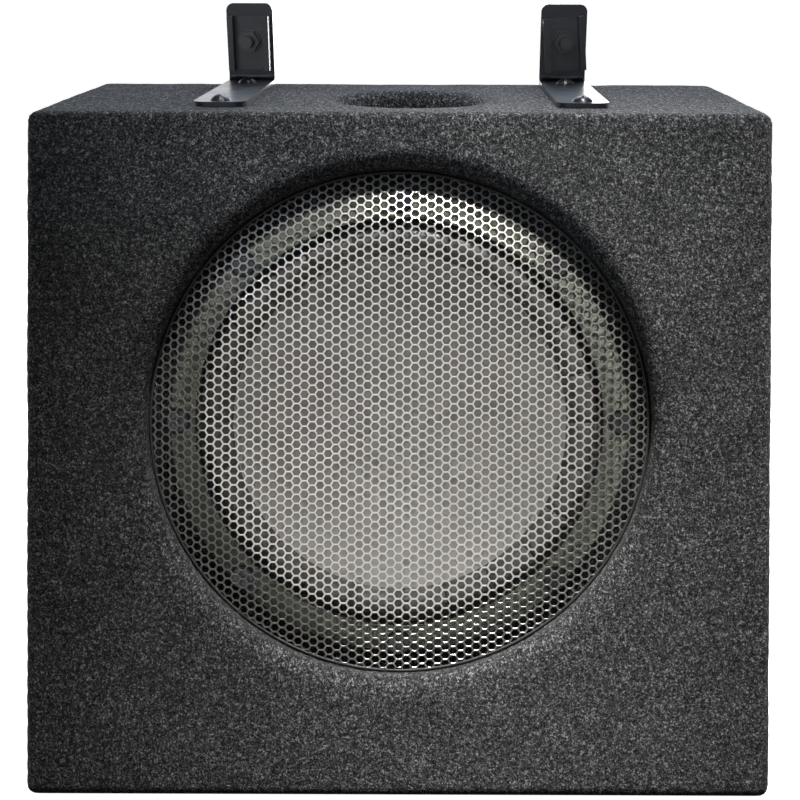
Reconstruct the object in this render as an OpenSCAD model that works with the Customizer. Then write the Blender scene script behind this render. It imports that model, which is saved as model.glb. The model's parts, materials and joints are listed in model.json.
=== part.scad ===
// Powered car subwoofer: a carpeted wedge box with an 8 inch driver behind a
// dished grille, a round port in its top, a built-in amplifier in its right
// side and two bolt-on clamp brackets.
// Origin: centre of the footprint, on the surface the box stands on. +Y is the back.

/* [Box] */
// Width of the box over its carpet
box_w = 340; // [300:1:420]
// Height of the box over its carpet
box_h = 294; // [280:1:340]
// Depth of the top face
top_d = 143; // [130:1:180]
// Angle that the front leans back from upright
lean = 20; // [12:1:24]
// Thickness of the wooden panels
board_t = 15; // [12:1:18]
// Thickness of the carpet
carpet_t = 3; // [2:0.5:4]
// Radius of the box's outer edges
edge_r = 6; // [4:0.5:8]

/* [Driver recess and grille] */
// Distance of the driver's centre up the front face
driver_s = 173; // [150:1:175]
// Radius of the recess inside its carpet
recess_r = 116.8; // [112:0.1:120]
// Radius of the carpet's roll into the recess and into the port
roll_r = 8; // [5:0.5:8]
// Depth of the grille's flat face behind the front of the box
grille_depth = 5; // [3:0.5:5]
// Radius of the grille's flat face
grille_flat_r = 91; // [85:0.5:95]
// Thickness of the grille's steel
grille_t = 1.2; // [0.8:0.1:1.2]

/* [Driver] */
// Outer radius of the driver's flange
flange_r = 106.5; // [104:0.5:108]
// Radius of the driver's screw circle
screw_circle_r = 102.8; // [101:0.1:103]
// Number of driver screws
driver_screw_n = 8; // [6:2:8]
// Depth of the trim ring's face behind the front of the box
trim_depth = 12; // [12:0.5:13]
// Outer radius of the cone's dish
cone_r = 78; // [76:0.5:79]
// Depth of the cone's dish
cone_depth = 20; // [14:1:22]
// Radius of the magnet
magnet_r = 55; // [50:1:58]
// Radius of the pole piece
pole_r = 24.3; // [20:0.1:24.3]

/* [Port] */
// Inner radius of the port
port_r = 34; // [28:1:36]
// Depth of the port's lower end below the top face
port_len = 85; // [60:1:90]
// Distance of the port's axis behind the front of the top face
port_y = 61.5; // [55:0.5:75]
// Distance of the port's axis to the right of the middle
port_x = 4; // [0:1:10]

/* [Brackets] */
// Distance of each bracket from the middle
bracket_x = 85.5; // [70:0.5:110]
// Width of the bracket's strip
strip_w = 25; // [20:1:30]
// Thickness of the bracket's strip
strip_t = 2.5; // [2:0.5:3]
// Height of the bracket's upright
upright_h = 42.5; // [40:0.5:60]
// Height of the clamp bolt above the top face
bolt_z = 23; // [23:0.5:26]
// Length of the clamp bolt's shank
bolt_len = 20; // [20:1:30]
// Turn of the right clamp channel
right_turn = 5; // [0:1:8]

/* [Amplifier] */
// Width of the recess for the amplifier, from front to back
amp_w = 124; // [120:1:128]
// Height of the recess for the amplifier
amp_h = 176; // [170:1:180]
// Height of the recess's middle
amp_z = 138; // [130:1:140]
// Distance of the recess's middle behind the box's middle
amp_y = 42; // [40:1:44]
// Depth of the recess
amp_recess = 14; // [12:0.5:14]

/* [Hidden] */
$fn = 96;
eps = 0.01;
far = 400;

// Box. The rounding takes nose_cut off the sharp lower front edge, and the
// footprint is centred without it.
bottom_d = top_d + box_h * tan(lean);
nose_cut = edge_r * (tan(lean) + 1 / cos(lean) - 1);
back_y = (bottom_d - nose_cut) / 2;
front_y = back_y - bottom_d;
top_front_y = back_y - top_d;
inner_t = carpet_t + board_t;
side_x = box_w / 2 - inner_t;
felt_overlap = 8;
corner_sides = 32;

// Recess, measured along the driver's axis: 0 is the front of the box
floor_z = -inner_t;
inner_baffle_half = 122;
cutout_r = 97;
grille_slope_r = 114.6;
grille_slope_z = -13.5;
grille_edge_r = 116.5;
grille_edge_z = -15;
grille_foot_z = floor_z + 0.2;
driver_pilot_r = 2.45;

// Driver, measured along its axis
flange_top_z = floor_z + 3;
step_r = 94.5;
step_wall_r = 96.5;
seat_z = -21;
seat_inner_r = 90;
spider_seat_z = -60;
spider_seat_r = 57;
neck_r = 46;
neck_z = -73;
motor_z = -75;
sheet_t = 2;
gap_r = 27.1;
former_r = 25;
former_t = 0.3;
coil_t = 1.05;
coil_top_z = -68;
coil_bottom_z = -90;
former_bottom_z = -92;
top_plate_t = 8;
magnet_t = 18;
yoke_t = 7;
vent_r = 8;
plate_r = 52;
magnet_inner_r = 30;
cone_t = 1;
cone_lip_r = 80.6;
roll_mid_r = 86;
surround_roll_r = 5.5;
surround_t = 1.2;
surround_land_r = 94;
cone_ball_r = (cone_r * cone_r + cone_depth * cone_depth) / (2 * cone_depth);
cone_ball_z = seat_z - cone_depth + cone_ball_r;
former_top_z = cone_ball_z - 0.1
  - sqrt(pow(cone_ball_r + cone_t, 2) - pow(former_r + former_t, 2));
window_n = 6;
screw_head_r = 4.8;
screw_head_h = 2.6;
screw_shank_r = 2.4;
notch_r = 6.2;

// Brackets and clamps
bracket_setback = 4;
upright_back_y = back_y - bracket_setback;
upright_front_y = upright_back_y - strip_t;
foot_y = top_front_y + 21;
bend_r = 5;
upright_corner_r = 4;
foot_corner_r = 6;
bracket_screw_y = [28, 118];
bracket_hole_r = 2.7;
wood_screw_r = 2;
wood_pilot_r = 2.05;
wood_head_r = 5;
wood_head_h = 3;
wood_dome_r = (wood_head_r * wood_head_r + wood_head_h * wood_head_h) / (2 * wood_head_h);
wood_screw_len = 14;
bolt_r = 3;
bolt_hole_r = 3.2;
hex_r = 10 / sqrt(3);
bolt_head_h = 4;
slack = 0.1;
channel_w = 22;
channel_up = 13;
channel_down = 15;
channel_t = 2;
channel_flange = 10;
channel_flange_t = 3;
washer_t = 1.6;
washer_r = 6;
nut_t = 5;
nut_hole_r = 3.05;
channel_y = upright_front_y - slack;
washer_y = channel_y - channel_t - slack;
nut_y = washer_y - washer_t - slack;

// Amplifier, measured along +X
recess_x = box_w / 2 - amp_recess;
gasket_t = 1;
plate_t = 3;
plate_in_x = recess_x + gasket_t;
plate_out_x = plate_in_x + plate_t;
ledge = 10;
play = 0.5;
back_box_x = 112;
back_box_wall = 2;
board_x = 140;
board_face_x = 141.6;
fin_h = 8;
fin_t = 2;
fin_pitch = 8;
fin_low_z = 142;
fin_high_z = 218;
knob_z = 122;
gain_y = 2;
crossover_y = 26;
bass_y = 50;
switch_y = 71;
switch_throw = 4.4;
led_y = 86;
socket_z = 95;
rca_y = [0, 20];
remote_y = 44;
input_y = 74;
power_z = 72;
fuse_y = 9;
terminal_y = 64;
terminal_n = 4;
terminal_pitch = 11;
knob_r = 7.5;
knob_h = 8;
shaft_r = 3;
shaft_hole_r = 3.3;
knob_lift = 0.5;
corner_screw_in = 5;

// ---- shared shapes ----

// Y of the front face at height z, moved inwards by d
function front_at(z, d) = front_y + z * tan(lean) + d / cos(lean);

// Side view of the box, moved inwards by d on all four sides
function wedge(d) = [
  [front_at(d, d), d],
  [back_y - d, d],
  [back_y - d, box_h - d],
  [front_at(box_h - d, d), box_h - d]
];

// Extrudes a side view [y, z] across the box between x0 and x1
module across(x0, x1) {
  translate([x0, 0, 0]) rotate([90, 0, 90]) linear_extrude(x1 - x0) children();
}

// Puts a shape in the driver's frame: its Z points out of the front face
module at_driver() {
  translate([0, front_y, 0])
    rotate([90 - lean, 0, 0])
      translate([0, driver_s, 0])
        children();
}

// Puts a shape in the port's frame: its Z points up, 0 is the top face
module at_port() {
  translate([port_x, top_front_y + port_y, box_h]) children();
}

// Half section of a round hole whose mouth is rolled over with radius roll
module mouth_section(hole_r, roll, z_top, z_low) {
  difference() {
    union() {
      translate([0, z_low]) square([hole_r, z_top - z_low + 1]);
      translate([0, z_top - roll]) square([hole_r + roll, roll + 1]);
    }
    translate([hole_r + roll, z_top - roll]) circle(r = roll);
  }
}

// Hole in a board, whose edge is rounded under the carpet
module board_mouth(r, depth) {
  rotate_extrude()
    mouth_section(r + carpet_t, roll_r - carpet_t, -carpet_t, -depth);
}

// Hole in the carpet, over board_mouth
module carpet_mouth(r, depth) {
  rotate_extrude() mouth_section(r, roll_r, 0, -depth);
}

// Carpet that lines a rolled mouth down to depth
module lining(r, depth) {
  rotate_extrude() difference() {
    intersection() {
      translate([0, -depth]) square([r + roll_r, depth]);
      mouth_section(r + carpet_t, roll_r - carpet_t, -carpet_t, -depth - 1);
    }
    mouth_section(r, roll_r, 0, -depth - 2);
  }
}

// The carpeted box as one rounded block
module felt_block() {
  hull()
    for (p = wedge(edge_r), x = [-1, 1])
      translate([x * (box_w / 2 - edge_r), p[0], p[1]])
        sphere(r = edge_r / cos(180 / corner_sides), $fn = corner_sides);
}

// The wooden box as one sharp block
module wood_block() {
  across(-box_w / 2 + carpet_t, box_w / 2 - carpet_t) polygon(wedge(carpet_t));
}

// Ring between two radii and two heights
module ring(r_in, r_out, z_low, z_high) {
  translate([0, 0, z_low]) difference() {
    cylinder(r = r_out, h = z_high - z_low);
    translate([0, 0, -1]) cylinder(r = r_in, h = z_high - z_low + 2);
  }
}

// Cylinder along +X from x0 to x1 at [y, z]
module rod_x(r, x0, x1, y, z) {
  translate([x0, y, z]) rotate([0, 90, 0]) cylinder(r = r, h = x1 - x0);
}

// Block between x0 and x1, centred on [y, z], of size w by h
module block_x(w, h, x0, x1, y, z) {
  translate([x0, y - w / 2, z - h / 2]) cube([x1 - x0, w, h]);
}

// ---- tubes along a route ----

function unit(v) = v / norm(v);
function tangent(path, i) =
  unit(path[min(i + 1, len(path) - 1)] - path[max(i - 1, 0)]);
function side_of(t) = unit(cross(t, abs(t[2]) < 0.9 ? [0, 0, 1] : [0, 1, 0]));
function ring_at(path, i, r, n) =
  let (t = tangent(path, i), u = side_of(t), v = cross(t, u))
  [for (k = [0 : n - 1])
    path[i] + r * (cos(360 * k / n) * u + sin(360 * k / n) * v)];

// Closed tube of radius r with n sides along the points of path
module tube(path, r, n = 8) {
  rings = len(path);
  points = [for (i = [0 : rings - 1]) each ring_at(path, i, r, n)];
  walls = [for (i = [0 : rings - 2], k = [0 : n - 1])
    [i * n + k, (i + 1) * n + k, (i + 1) * n + (k + 1) % n, i * n + (k + 1) % n]];
  caps = [
    [for (k = [0 : n - 1]) k],
    [for (k = [0 : n - 1]) rings * n - 1 - k]
  ];
  polyhedron(points = points, faces = concat(walls, caps), convexity = 4);
}

// Route of one tinsel lead in the driver's frame, from terminal to voice coil
lead_route = [
  [57, 11, -66], [62, 14, -65], [67, 20, -62], [68, 27, -57], [65, 32, -52],
  [58, 31, -48], [50, 26, -46], [42, 20, -46], [35, 14, -47], [30, 9, -49],
  [27, 6, -50]
];

// Route of one speaker wire inside the box, from the amplifier to the driver
wire_route = [
  [112, 18, 118], [106, 18, 118], [99, 16, 116], [92, 12, 115], [85, 7, 117],
  [79, 2, 123], [74, -1, 130], [70, -2.4, 134.8], [67, -2.4, 136.8]
];

// ---- wooden box ----

module front_baffle() {
  color("#b58f62") difference() {
    across(-side_x, side_x) polygon([
      [front_at(inner_t, carpet_t), inner_t],
      [front_at(inner_t, inner_t), inner_t],
      [front_at(box_h - inner_t, inner_t), box_h - inner_t],
      [front_at(box_h - inner_t, carpet_t), box_h - inner_t]
    ]);
    at_driver() board_mouth(recess_r, inner_t + 1);
  }
}

module inner_baffle() {
  color("#1a1a1b") at_driver() difference() {
    translate([-inner_baffle_half, -inner_baffle_half, floor_z - board_t])
      cube([2 * inner_baffle_half, 2 * inner_baffle_half, board_t]);
    translate([0, 0, floor_z - board_t - 1]) cylinder(r = cutout_r, h = board_t + 2);
    driver_screw_places()
      translate([0, 0, floor_z - board_t - 1])
        cylinder(r = driver_pilot_r, h = board_t + 2);
  }
}

module top_panel() {
  color("#b58f62") difference() {
    across(-side_x, side_x) polygon([
      [front_at(box_h - inner_t, carpet_t), box_h - inner_t],
      [back_y - carpet_t, box_h - inner_t],
      [back_y - carpet_t, box_h - carpet_t],
      [front_at(box_h - carpet_t, carpet_t), box_h - carpet_t]
    ]);
    at_port() board_mouth(port_r, inner_t + 1);
    at_driver() board_mouth(recess_r, inner_t + 1);
    bracket_screw_places()
      translate([0, 0, -wood_screw_len - 1]) cylinder(r = wood_pilot_r, h = far);
  }
}

module bottom_panel() {
  color("#b58f62") across(-side_x, side_x) polygon([
    [front_at(carpet_t, carpet_t), carpet_t],
    [back_y - carpet_t, carpet_t],
    [back_y - carpet_t, inner_t],
    [front_at(inner_t, carpet_t), inner_t]
  ]);
}

module back_panel() {
  color("#b58f62")
    translate([-side_x, back_y - inner_t, inner_t])
      cube([2 * side_x, board_t, box_h - 2 * inner_t]);
}

module left_side_panel() {
  color("#b58f62") across(-box_w / 2 + carpet_t, -side_x) polygon(wedge(carpet_t));
}

module right_side_panel() {
  color("#b58f62") difference() {
    across(side_x, box_w / 2 - carpet_t) polygon(wedge(carpet_t));
    amp_pocket();
    block_x(amp_w - 2 * ledge, amp_h - 2 * ledge, side_x - 1, far, amp_y, amp_z);
    corner_places() rod_x(wood_pilot_r, side_x - 1, far, 0, 0);
  }
}

module amp_pocket() {
  block_x(amp_w, amp_h, recess_x, far, amp_y, amp_z);
}

// ---- carpet ----

// Outline of the side sheets, inside the turned-over edge of the wrap
module side_sheet_block(x0, x1) {
  across(x0, x1) polygon(wedge(felt_overlap));
}

module carpet_shell() {
  difference() {
    felt_block();
    wood_block();
    side_sheet_block(-far, -box_w / 2 + carpet_t + eps);
    side_sheet_block(box_w / 2 - carpet_t - eps, far);
  }
}

module carpet_wrap() {
  color("#2b2c31") difference() {
    union() {
      intersection() {
        carpet_shell();
        translate([-far, -far, carpet_t]) cube([2 * far, 2 * far, far]);
      }
      at_driver() lining(recess_r, inner_t);
      at_port() lining(port_r, carpet_t + 10);
    }
    at_driver() carpet_mouth(recess_r, inner_t + 1);
    at_port() carpet_mouth(port_r, inner_t);
    bracket_screw_places()
      translate([0, 0, -carpet_t - 1]) cylinder(r = bracket_hole_r, h = carpet_t + 2);
  }
}

module carpet_bottom() {
  color("#26272b") intersection() {
    carpet_shell();
    translate([-far, -far, -1]) cube([2 * far, 2 * far, carpet_t + 1]);
  }
}

module carpet_side_left() {
  color("#2b2c31") side_sheet_block(-box_w / 2, -box_w / 2 + carpet_t);
}

module carpet_side_right() {
  color("#2b2c31") difference() {
    side_sheet_block(box_w / 2 - carpet_t, box_w / 2);
    amp_pocket();
  }
}

module port_tube() {
  color("#1d1d1f") at_port()
    ring(port_r, port_r + carpet_t - 0.05, -port_len, -carpet_t - 10);
}

// ---- grille ----

module grille() {
  color("#3c3a36") at_driver() rotate_extrude() polygon([
    [0, -grille_depth],
    [grille_flat_r, -grille_depth],
    [grille_slope_r, grille_slope_z],
    [grille_edge_r, grille_edge_z],
    [grille_edge_r, grille_foot_z],
    [grille_edge_r - grille_t, grille_foot_z],
    [grille_edge_r - grille_t, grille_edge_z - 0.2],
    [grille_slope_r - 0.6, grille_slope_z - 1.1],
    [grille_flat_r - 0.4, -grille_depth - grille_t],
    [0, -grille_depth - grille_t]
  ]);
}

// ---- driver ----

module driver_screw_places() {
  for (i = [0 : driver_screw_n - 1])
    rotate([0, 0, 90 + 360 * i / driver_screw_n])
      translate([screw_circle_r, 0, 0])
        children();
}

module basket() {
  color("#1b1b1c") at_driver() difference() {
    rotate_extrude() polygon([
      [flange_r, flange_top_z],
      [step_r, flange_top_z],
      [step_r, seat_z],
      [seat_inner_r, seat_z],
      [seat_inner_r, seat_z - 3],
      [spider_seat_r, spider_seat_z + 1],
      [spider_seat_r, spider_seat_z],
      [neck_r, spider_seat_z],
      [neck_r, neck_z],
      [gap_r + 0.4, neck_z],
      [gap_r + 0.4, motor_z],
      [neck_r + sheet_t, motor_z],
      [neck_r + sheet_t, spider_seat_z - sheet_t],
      [spider_seat_r + 3, spider_seat_z - sheet_t],
      [seat_inner_r + 4, seat_z - 4],
      [seat_inner_r + 4, seat_z - sheet_t],
      [step_wall_r, seat_z - sheet_t],
      [step_wall_r, floor_z],
      [flange_r, floor_z]
    ]);
    for (i = [0 : window_n - 1])
      rotate([0, 0, 30 + 360 * i / window_n])
        translate([neck_r + 4, -18, spider_seat_z + 4]) cube([50, 36, 30]);
    driver_screw_places()
      translate([0, 0, floor_z - 1]) cylinder(r = screw_shank_r + 0.2, h = 6);
  }
}

module trim_ring() {
  color("#82877a") at_driver() difference() {
    ring(step_r + 0.3, flange_r - 0.5, flange_top_z, -trim_depth);
    driver_screw_places()
      translate([0, 0, flange_top_z - 1]) cylinder(r = notch_r, h = 6);
  }
}

module driver_screws() {
  color("#2a2a2b") at_driver() driver_screw_places() difference() {
    union() {
      translate([0, 0, flange_top_z]) cylinder(r = screw_head_r, h = screw_head_h);
      translate([0, 0, floor_z - 12]) cylinder(r = screw_shank_r, h = 16);
    }
    translate([0, 0, flange_top_z + 1.2]) cylinder(r = 2.3, h = 3, $fn = 6);
  }
}

// Height of the roll's own middle line above the surround's seat
roll_base_z = seat_z + surround_t / 2;

module surround() {
  color("#161617") at_driver() rotate_extrude() union() {
    difference() {
      translate([roll_mid_r, roll_base_z])
        circle(r = surround_roll_r + surround_t / 2);
      translate([roll_mid_r, roll_base_z])
        circle(r = surround_roll_r - surround_t / 2);
      translate([roll_mid_r - 10, roll_base_z - 10]) square([20, 10]);
    }
    translate([roll_mid_r + surround_roll_r, seat_z + 0.05])
      square([surround_land_r - roll_mid_r - surround_roll_r, surround_t]);
    translate([cone_r + 0.3, seat_z + 0.05])
      square([roll_mid_r - surround_roll_r - cone_r - 0.3, surround_t]);
  }
}

module cone() {
  color("#a8a69c") at_driver() rotate_extrude() union() {
    intersection() {
      difference() {
        translate([0, cone_ball_z]) circle(r = cone_ball_r + cone_t, $fn = 360);
        translate([0, cone_ball_z]) circle(r = cone_ball_r, $fn = 360);
      }
      translate([0, seat_z - cone_depth - 2 * cone_t])
        square([cone_r, cone_depth + 2 * cone_t]);
    }
    translate([cone_r - 0.3, seat_z - cone_t])
      square([cone_lip_r - cone_r + 0.3, cone_t]);
  }
}

module voice_coil_former() {
  color("#c9b27c") at_driver()
    ring(former_r, former_r + former_t, former_bottom_z, former_top_z);
}

module voice_coil() {
  color("#b4642d") at_driver()
    ring(former_r + former_t, former_r + former_t + coil_t, coil_bottom_z, coil_top_z);
}

// Flat rings that step up and down like the spider's rolls
module spider() {
  rolls = 4;
  first_r = former_r + former_t + 0.05;
  last_r = spider_seat_r - 2;
  pitch = (last_r - first_r) / rolls;
  low_z = spider_seat_z + 0.05;
  color("#c7a94f") at_driver() rotate_extrude() union() {
    for (i = [0 : rolls - 1])
      translate([first_r + i * pitch, low_z]) polygon([
        [0, 0], [pitch / 4, 2], [3 * pitch / 4, 2], [pitch, 0],
        [pitch, 0.8], [3 * pitch / 4, 2.8], [pitch / 4, 2.8], [0, 0.8]
      ]);
    translate([last_r - eps, low_z]) square([1.8, 0.8]);
  }
}

module top_plate() {
  color("#8d9094") at_driver() ring(gap_r, plate_r, motor_z - top_plate_t, motor_z);
}

module magnet() {
  color("#3a3a3d") at_driver()
    ring(magnet_inner_r, magnet_r, motor_z - top_plate_t - magnet_t,
      motor_z - top_plate_t);
}

module t_yoke() {
  yoke_z = motor_z - top_plate_t - magnet_t;
  color("#8d9094") at_driver() difference() {
    union() {
      translate([0, 0, yoke_z - yoke_t]) cylinder(r = plate_r, h = yoke_t);
      translate([0, 0, yoke_z - eps]) cylinder(r = pole_r, h = motor_z - yoke_z + eps);
    }
    translate([0, 0, yoke_z - yoke_t - 1]) cylinder(r = vent_r, h = 60);
  }
}

module speaker_terminals() {
  color("#b9a26a") at_driver() {
    translate([neck_r + sheet_t + 0.3, -9, neck_z]) cube([8.2, 18, 10.9]);
    for (y = [-6.5, 1.5])
      translate([neck_r + sheet_t + 8, y, neck_z + 5]) cube([9, 5, 0.8]);
  }
}

module tinsel_leads() {
  color("#b08a4a") at_driver() for (s = [-1, 1])
    tube([for (p = lead_route) [p[0], s * p[1], p[2]]], 0.7);
}

module speaker_cable() {
  color("#8c1d1d") for (dz = [-2, 2])
    tube([for (p = wire_route) [p[0], p[1], p[2] + dz]], 1.5);
}

// ---- amplifier ----

// The four corner screws of the amplifier's plate
module corner_places() {
  for (sy = [-1, 1], sz = [-1, 1])
    translate([
      0,
      amp_y + sy * (amp_w / 2 - corner_screw_in),
      amp_z + sz * (amp_h / 2 - corner_screw_in)
    ]) children();
}

// Openings in the plate for everything that comes through it
module plate_openings() {
  for (y = [gain_y, crossover_y, bass_y])
    rod_x(shaft_hole_r, 0, far, y, knob_z);
  block_x(10, 5, 0, far, switch_y, knob_z);
  rod_x(2.6, 0, far, led_y, knob_z);
  for (y = rca_y) rod_x(4.6, 0, far, y, socket_z);
  rod_x(5.2, 0, far, remote_y, socket_z);
  block_x(27, 13, 0, far, input_y, socket_z);
  block_x(29, 15, 0, far, fuse_y, power_z);
  block_x(terminal_n * terminal_pitch + 7, 15, 0, far, terminal_y, power_z);
  corner_places() rod_x(bracket_hole_r, 0, far, 0, 0);
}

module amp_plate() {
  fin_n = floor((amp_w - 16) / fin_pitch);
  fin_y = amp_y - fin_n * fin_pitch / 2;
  color("#2f3033") difference() {
    union() {
      block_x(amp_w - 2 * play, amp_h - 2 * play, plate_in_x, plate_out_x,
        amp_y, amp_z);
      for (i = [0 : fin_n])
        translate([plate_out_x - eps, fin_y + i * fin_pitch - fin_t / 2, fin_low_z])
          cube([fin_h + eps, fin_t, fin_high_z - fin_low_z]);
    }
    plate_openings();
  }
}

module amp_gasket() {
  color("#101010") difference() {
    block_x(amp_w - 2 * play, amp_h - 2 * play, recess_x, plate_in_x, amp_y, amp_z);
    block_x(amp_w - 2 * ledge, amp_h - 2 * ledge, 0, far, amp_y, amp_z);
    corner_places() rod_x(bracket_hole_r, 0, far, 0, 0);
  }
}

module amp_back_box() {
  w = amp_w - 2 * ledge - 4;
  h = amp_h - 2 * ledge - 4;
  t = back_box_wall;
  color("#1c1c1e") difference() {
    block_x(w, h, back_box_x, plate_in_x, amp_y, amp_z);
    block_x(w - 2 * t, h - 2 * t, back_box_x + t, far, amp_y, amp_z);
    translate([0, wire_route[0][1], wire_route[0][2]])
      block_x(5, 9, 0, back_box_x + t + 1, 0, 0);
  }
}

module amp_circuit_board() {
  color("#1e5a33") block_x(96, 148, board_x, board_face_x, amp_y, amp_z);
}

module amp_toroid() {
  color("#a8622f") translate([board_x - 24, amp_y + 8, amp_z + 34]) rotate([0, 90, 0])
    difference() {
      cylinder(r = 30, h = 23.9);
      translate([0, 0, -1]) cylinder(r = 9, h = 30);
    }
}

module amp_capacitors() {
  color("#27324f") for (y = [-24 : 24 : 24])
    rod_x(9, board_x - 22, board_x - 0.1, amp_y + y, amp_z - 40);
}

module amp_transistors() {
  color("#161616") for (i = [0 : 3])
    block_x(15, 20, plate_in_x - 5, plate_in_x, amp_y - 33 + 22 * i, 180);
}

module amp_screws() {
  color("#1a1a1a") corner_places() difference() {
    union() {
      rod_x(4, plate_out_x, plate_out_x + 2.6, 0, 0);
      rod_x(wood_screw_r, side_x + 0.5, plate_out_x + 0.1, 0, 0);
    }
    for (a = [0, 90]) translate([plate_out_x + 1.4, 0, 0]) rotate([a, 0, 0])
      block_x(5, 0.9, 0, 3, 0, 0);
  }
}

module power_terminal_block() {
  w = terminal_n * terminal_pitch + 6;
  color("#141414") difference() {
    block_x(w, 14, board_face_x + 0.2, plate_out_x + 8, terminal_y, power_z);
    terminal_places() {
      rod_x(2.6, plate_out_x - 6, far, 0, -2.5);
      translate([plate_out_x + 3.5, 0, 0]) cylinder(r = 2.6, h = 10);
    }
  }
}

module terminal_places() {
  for (i = [0 : terminal_n - 1])
    translate([0, terminal_y + (i - (terminal_n - 1) / 2) * terminal_pitch, power_z])
      children();
}

module terminal_screws() {
  color("#a9a9a4") terminal_places()
    translate([plate_out_x + 3.5, 0, 3]) difference() {
      cylinder(r = 2.4, h = 3.4);
      translate([-3, -0.4, 2.4]) cube([6, 0.8, 2]);
    }
}

module input_socket() {
  color("#ece9df") difference() {
    block_x(26, 12, board_face_x + 0.2, plate_out_x + 6, input_y, socket_z);
    block_x(22, 8, plate_out_x - 4, far, input_y, socket_z);
  }
}

module rca_sockets() {
  color("#c8b26a") for (y = rca_y) difference() {
    union() {
      rod_x(4.15, board_face_x + 0.2, plate_out_x + 8, y, socket_z);
      rod_x(6, plate_out_x, plate_out_x + 1, y, socket_z);
    }
    rod_x(1.65, plate_out_x - 4, far, y, socket_z);
  }
}

module remote_jack() {
  color("#17171a") difference() {
    union() {
      rod_x(4.9, board_face_x + 0.2, plate_out_x + 2.5, remote_y, socket_z);
      rod_x(6.2, plate_out_x, plate_out_x + 1.5, remote_y, socket_z);
    }
    rod_x(1.8, plate_out_x - 8, far, remote_y, socket_z);
  }
}

// Control knob with its shaft, at y along the row of knobs
module knob(y) {
  color("#1b1b1d") difference() {
    union() {
      rod_x(knob_r, plate_out_x + knob_lift, plate_out_x + knob_lift + knob_h, y,
        knob_z);
      rod_x(shaft_r, board_face_x + 0.5, plate_out_x + knob_lift + 0.1, y, knob_z);
    }
    for (k = [0 : 11]) translate([0, y, knob_z]) rotate([30 * k, 0, 0])
      rod_x(0.9, plate_out_x + 2.5, far, knob_r + 0.2, 0);
    block_x(1.2, 6, plate_out_x + knob_lift + knob_h - 0.8, far, y, knob_z + 4);
  }
}

// Slide switch, at the front end of its throw
module phase_switch() {
  lever_y = switch_y - switch_throw / 2;
  color("#d9d9d6") union() {
    block_x(5, 4, board_face_x + 1.5, plate_out_x + 3, lever_y, knob_z);
    block_x(9, 8, board_face_x + 1.5, plate_in_x - 0.5, lever_y, knob_z);
  }
}

module power_led() {
  color("#2fae4a") rod_x(2.5, board_face_x + 0.2, plate_out_x + 1.2, led_y, knob_z);
}

module fuse_holder() {
  color("#1a1a1c") difference() {
    block_x(28, 14, board_face_x + 0.2, plate_out_x + 2, fuse_y, power_z);
    block_x(20, 6, plate_out_x - 12, far, fuse_y, power_z);
  }
}

module fuse() {
  color("#c98a1e") union() {
    block_x(19, 5, plate_out_x - 3, plate_out_x + 8, fuse_y, power_z);
    for (y = [-6, 6]) block_x(4, 0.8, plate_out_x - 11, plate_out_x - 2, fuse_y + y,
      power_z);
  }
}

// ---- brackets and clamps ----

module bracket_screw_places() {
  for (x = [-bracket_x, bracket_x], d = bracket_screw_y)
    translate([x, top_front_y + d, box_h]) children();
}

// Points on an arc about [cx, cz] from angle a0 to a1
function arc(cx, cz, r, a0, a1, steps = 10) =
  [for (i = [0 : steps]) let (a = a0 + (a1 - a0) * i / steps)
    [cx + r * cos(a), cz + r * sin(a)]];

// Side view of the bent strip
module strip_section() {
  bend_y = upright_back_y - bend_r;
  polygon(concat(
    [[foot_y, 0]],
    arc(bend_y, bend_r, bend_r, -90, 0),
    [[upright_back_y, upright_h], [upright_front_y, upright_h]],
    arc(bend_y, bend_r, bend_r - strip_t, 0, -90),
    [[foot_y, strip_t]]
  ));
}

// Strip of length len whose two far corners are rounded with radius r
module strip_end(len, r) {
  translate([-strip_w / 2, 0]) square([strip_w, len - r]);
  translate([-strip_w / 2 + r, 0]) square([strip_w - 2 * r, len]);
  for (s = [-1, 1]) translate([s * (strip_w / 2 - r), len - r]) circle(r = r);
}

module bracket(x) {
  color("#17181a") translate([x, 0, box_h]) difference() {
    intersection() {
      across(-strip_w / 2, strip_w / 2) strip_section();
      translate([0, far / 2, 0]) rotate([90, 0, 0])
        linear_extrude(far) strip_end(upright_h, upright_corner_r);
      translate([0, back_y, -1]) mirror([0, 1, 0])
        linear_extrude(far) strip_end(back_y - foot_y, foot_corner_r);
    }
    for (d = bracket_screw_y) translate([0, top_front_y + d, -1])
      cylinder(r = bracket_hole_r, h = strip_t + 2);
    translate([0, back_y, bolt_z]) rotate([90, 0, 0])
      cylinder(r = bolt_hole_r, h = 20);
  }
}

module bracket_left() { bracket(-bracket_x); }
module bracket_right() { bracket(bracket_x); }

module bracket_screws() {
  color("#1c1d1f") bracket_screw_places() difference() {
    union() {
      intersection() {
        translate([0, 0, strip_t]) cylinder(r = wood_head_r + 1, h = wood_head_h + 1);
        translate([0, 0, strip_t + wood_head_h - wood_dome_r]) sphere(r = wood_dome_r);
      }
      translate([0, 0, strip_t - wood_screw_len])
        cylinder(r = wood_screw_r, h = wood_screw_len + 0.1);
    }
    for (a = [0, 90]) translate([0, 0, strip_t + wood_head_h - 1]) rotate([0, 0, a])
      translate([-2.5, -0.5, 0]) cube([5, 1, 2]);
  }
}

// Cylinder along -Y that starts at y, on the clamp bolt's axis
module on_bolt(x, y, r, len, sides = 96) {
  translate([x, y, box_h + bolt_z]) rotate([90, 0, 0])
    cylinder(r = r, h = len, $fn = sides);
}

module clamp_bolt(x) {
  color("#3a3b3e") {
    on_bolt(x, back_y, hex_r, bolt_head_h, 6);
    on_bolt(x, upright_back_y + eps, bolt_r, bolt_len + eps);
  }
}

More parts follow.
